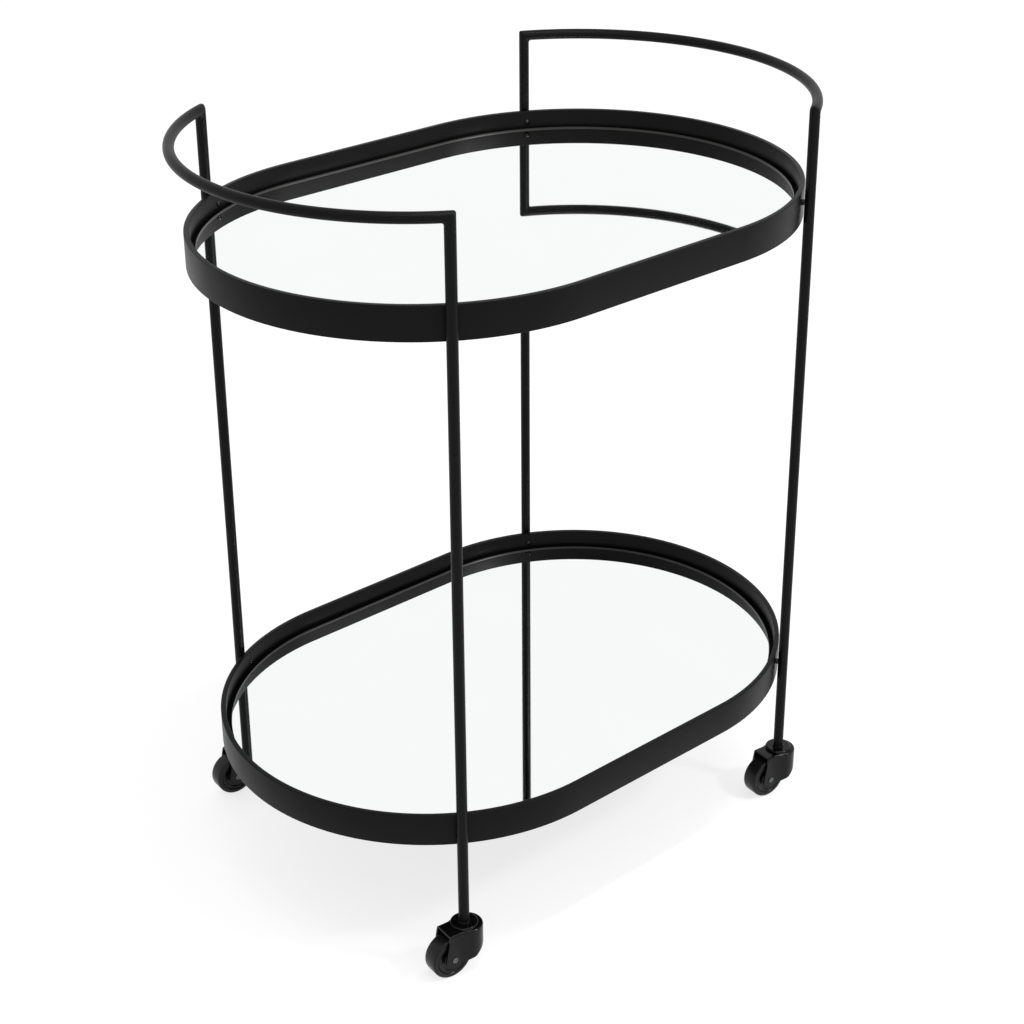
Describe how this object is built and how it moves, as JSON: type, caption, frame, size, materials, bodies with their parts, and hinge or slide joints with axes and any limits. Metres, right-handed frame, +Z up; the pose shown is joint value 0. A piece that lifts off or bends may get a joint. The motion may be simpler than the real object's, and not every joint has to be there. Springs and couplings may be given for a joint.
{
  "type": "bar cart on wheels",
  "caption": "Two-tier bar cart: racetrack trays with mirror shelves between slim round posts, curved push handles at the ends, swivel casters below.",
  "frame": {"origin": "on the floor below the middle of the cart", "axes": "+X along the trays towards one push handle, +Y across the cart to the back, +Z up"},
  "size_m": [0.7586, 0.502, 0.88],
  "materials": {
    "tray_steel": "satin black powder coat",
    "mirror_glass": "polished",
    "backing_board": "matte",
    "frame_tube": "satin black powder coat",
    "spacer_steel": "turned",
    "screw_steel": "zinc plated",
    "insert_brass": "plain",
    "socket_plastic": "satin black",
    "stem_steel": "zinc plated",
    "caster_steel": "gloss black",
    "ball_steel": "polished",
    "rivet_steel": "dark plated",
    "wheel_plastic": "gloss black",
    "bush_plastic": "natural",
    "tyre_rubber": "satin black"
  },
  "bodies": {
    "frame": {"upper_band": "tray_steel", "lower_band": "tray_steel", "upper_ledge": "tray_steel", "lower_ledge": "tray_steel", "upper_mirror": "mirror_glass", "lower_mirror": "mirror_glass", "upper_backing": "backing_board", "lower_backing": "backing_board", "post_front_left": "frame_tube", "post_front_right": "frame_tube", "post_back_left": "frame_tube", "post_back_right": "frame_tube", "handle_left": "frame_tube", "handle_right": "frame_tube", "upper_spacers": "spacer_steel", "lower_spacers": "spacer_steel", "upper_screws": "screw_steel", "lower_screws": "screw_steel", "upper_inserts": "insert_brass", "lower_inserts": "insert_brass", "caster_sockets": "socket_plastic", "caster_stems": "stem_steel", "raceway_caps": "caster_steel"},
    "swivel_front_left": {"bearing_balls_front_left": "ball_steel", "fork_front_left": "caster_steel", "axle_front_left": "rivet_steel"},
    "swivel_front_right": {"bearing_balls_front_right": "ball_steel", "fork_front_right": "caster_steel", "axle_front_right": "rivet_steel"},
    "swivel_back_left": {"bearing_balls_back_left": "ball_steel", "fork_back_left": "caster_steel", "axle_back_left": "rivet_steel"},
    "swivel_back_right": {"bearing_balls_back_right": "ball_steel", "fork_back_right": "caster_steel", "axle_back_right": "rivet_steel"},
    "wheel_front_left": {"wheel_centre_front_left": "wheel_plastic", "wheel_bush_front_left": "bush_plastic", "tyre_front_left": "tyre_rubber"},
    "wheel_front_right": {"wheel_centre_front_right": "wheel_plastic", "wheel_bush_front_right": "bush_plastic", "tyre_front_right": "tyre_rubber"},
    "wheel_back_left": {"wheel_centre_back_left": "wheel_plastic", "wheel_bush_back_left": "bush_plastic", "tyre_back_left": "tyre_rubber"},
    "wheel_back_right": {"wheel_centre_back_right": "wheel_plastic", "wheel_bush_back_right": "bush_plastic", "tyre_back_right": "tyre_rubber"}
  },
  "joints": [
    {"name": "swivel_front_left", "type": "hinge", "parent": "frame", "child": "swivel_front_left", "pos_m": [-0.25522, -0.21747, 0.0575], "axis": [0, 0, 1], "continuous": true},
    {"name": "swivel_front_right", "type": "hinge", "parent": "frame", "child": "swivel_front_right", "pos_m": [0.25522, -0.21747, 0.0575], "axis": [0, 0, 1], "continuous": true},
    {"name": "swivel_back_left", "type": "hinge", "parent": "frame", "child": "swivel_back_left", "pos_m": [-0.23373, 0.23, 0.0575], "axis": [0, 0, 1], "continuous": true},
    {"name": "swivel_back_right", "type": "hinge", "parent": "frame", "child": "swivel_back_right", "pos_m": [0.23373, 0.23, 0.0575], "axis": [0, 0, 1], "continuous": true},
    {"name": "roll_front_left", "type": "hinge", "parent": "swivel_front_left", "child": "wheel_front_left", "pos_m": [-0.27661, -0.21522, 0.025], "axis": [0.1045, 0.9945, 0], "continuous": true},
    {"name": "roll_front_right", "type": "hinge", "parent": "swivel_front_right", "child": "wheel_front_right", "pos_m": [0.23384, -0.21522, 0.025], "axis": [0.1045, 0.9945, 0], "continuous": true},
    {"name": "roll_back_left", "type": "hinge", "parent": "swivel_back_left", "child": "wheel_back_left", "pos_m": [-0.25511, 0.23225, 0.025], "axis": [0.1045, 0.9945, 0], "continuous": true},
    {"name": "roll_back_right", "type": "hinge", "parent": "swivel_back_right", "child": "wheel_back_right", "pos_m": [0.21235, 0.23225, 0.025], "axis": [0.1045, 0.9945, 0], "continuous": true}
  ]
}
